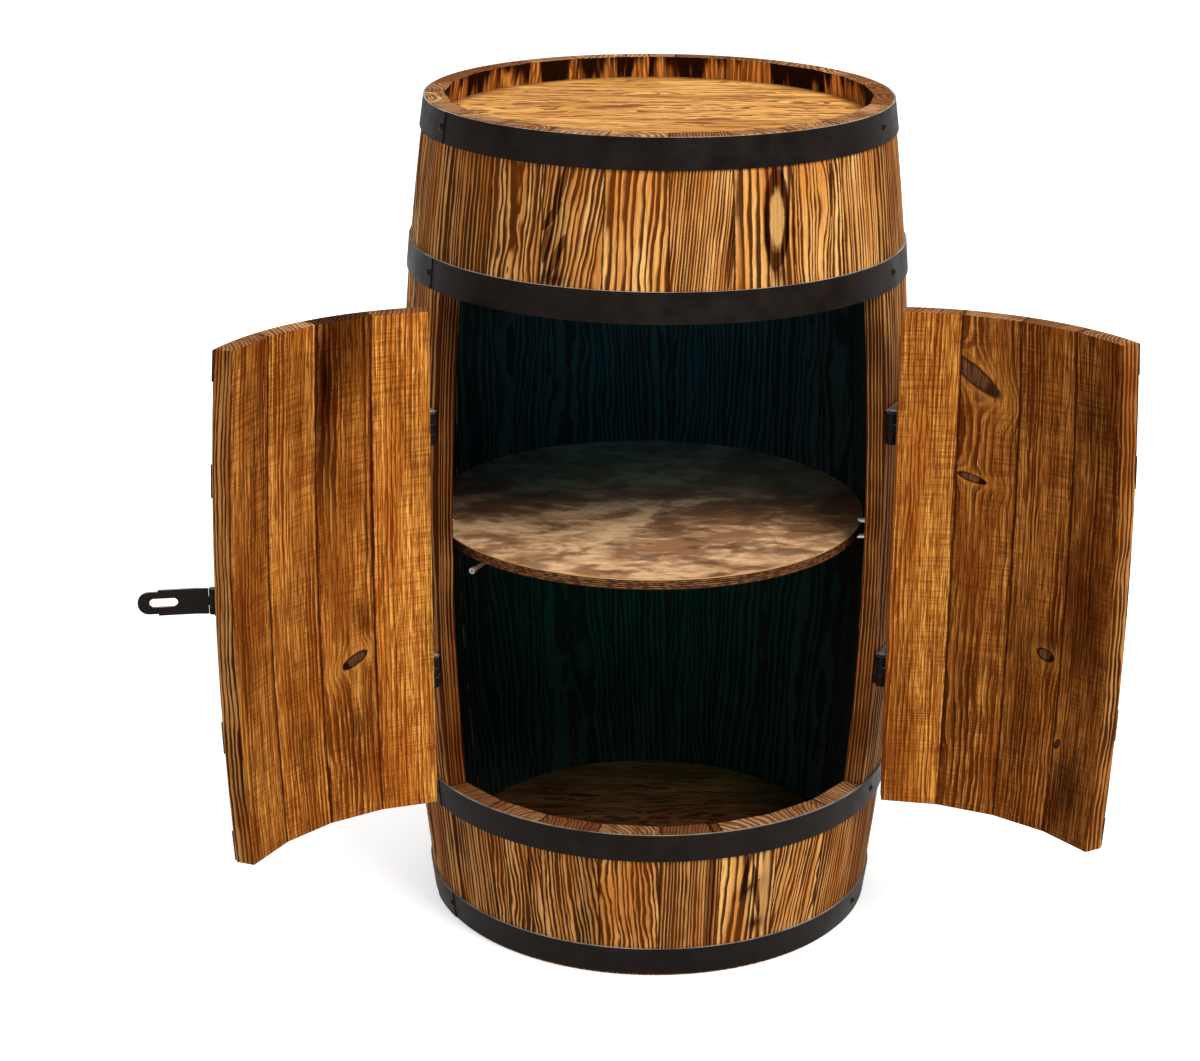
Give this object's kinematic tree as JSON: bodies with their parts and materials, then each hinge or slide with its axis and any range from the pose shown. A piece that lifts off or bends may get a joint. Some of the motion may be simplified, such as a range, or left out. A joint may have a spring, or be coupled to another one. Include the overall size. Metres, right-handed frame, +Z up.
{
  "type": "barrel bar cabinet",
  "caption": "Coopered barrel bar cabinet with bulging staves held by steel hoops, a pair of curved stave doors on strap hinges, a round shelf inside and a hasp.",
  "frame": {"origin": "centre of the circle that the stave ends make on the floor", "axes": "+Z up along the barrel's axis; the doors face -Y, so +X is to the viewer's right"},
  "size_m": [0.869, 0.5404, 0.8],
  "materials": {
    "charred_pine": "charred and brushed pine, waxed",
    "golden_pine": "lightly flamed pine, waxed",
    "burnt_plywood": "flamed plywood with rough edges",
    "black_steel": "satin black",
    "zinc_steel": "zinc plated",
    "light_strip": "translucent, glowing blue-green",
    "black_plastic": "moulded, fine texture"
  },
  "bodies": {
    "cabinet": {"stave_01": "charred_pine", "stave_02": "charred_pine", "stave_03": "charred_pine", "stave_04": "charred_pine", "stave_05": "charred_pine", "stave_06": "charred_pine", "stave_07": "charred_pine", "stave_08": "charred_pine", "stave_09": "charred_pine", "stave_10": "charred_pine", "stave_11": "charred_pine", "stave_12": "charred_pine", "stave_13": "charred_pine", "stave_14": "charred_pine", "stave_15": "charred_pine", "stave_16": "charred_pine", "stave_17": "charred_pine", "stave_18": "charred_pine", "lintel_staves": "charred_pine", "sill_staves": "charred_pine", "bottom_hoop": "black_steel", "lower_quarter_hoop": "black_steel", "upper_quarter_hoop": "black_steel", "top_hoop": "black_steel", "lower_bilge_hoop": "black_steel", "upper_bilge_hoop": "black_steel", "top_head": "golden_pine", "bottom_head": "golden_pine", "shelf": "burnt_plywood", "shelf_pegs": "zinc_steel", "stop_pin": "zinc_steel", "stop_block": "golden_pine", "led_strip": "light_strip", "battery_box": "black_plastic", "left_jamb_leaves": "black_steel", "right_jamb_leaves": "black_steel", "left_hinge_pins": "zinc_steel", "right_hinge_pins": "zinc_steel"},
    "left_door": {"left_door_stave_1": "charred_pine", "left_door_stave_2": "charred_pine", "left_door_stave_3": "charred_pine", "left_door_stave_4": "charred_pine", "left_door_end_straps": "black_steel", "left_door_hinge_straps": "black_steel", "hasp_plate": "black_steel", "hasp_pin": "zinc_steel"},
    "right_door": {"right_door_stave_1": "charred_pine", "right_door_stave_2": "charred_pine", "right_door_stave_3": "charred_pine", "right_door_stave_4": "charred_pine", "right_door_end_straps": "black_steel", "right_door_hinge_straps": "black_steel", "staple": "black_steel"},
    "hasp": {"hasp_leaf": "black_steel"}
  },
  "joints": [
    {"name": "left_door_hinge", "type": "hinge", "parent": "cabinet", "child": "left_door", "pos_m": [-0.21122, -0.13224, 0], "axis": [0, 0, -1], "range_deg": [-111.8, 38]},
    {"name": "right_door_hinge", "type": "hinge", "parent": "cabinet", "child": "right_door", "pos_m": [0.21122, -0.13224, 0], "axis": [0, 0, 1], "range_deg": [-118, 32]},
    {"name": "hasp_hinge", "type": "hinge", "parent": "left_door", "child": "hasp", "pos_m": [-0.39547, -0.27742, 0.404], "axis": [0, 0, 1], "range_deg": [-95, 65]}
  ]
}
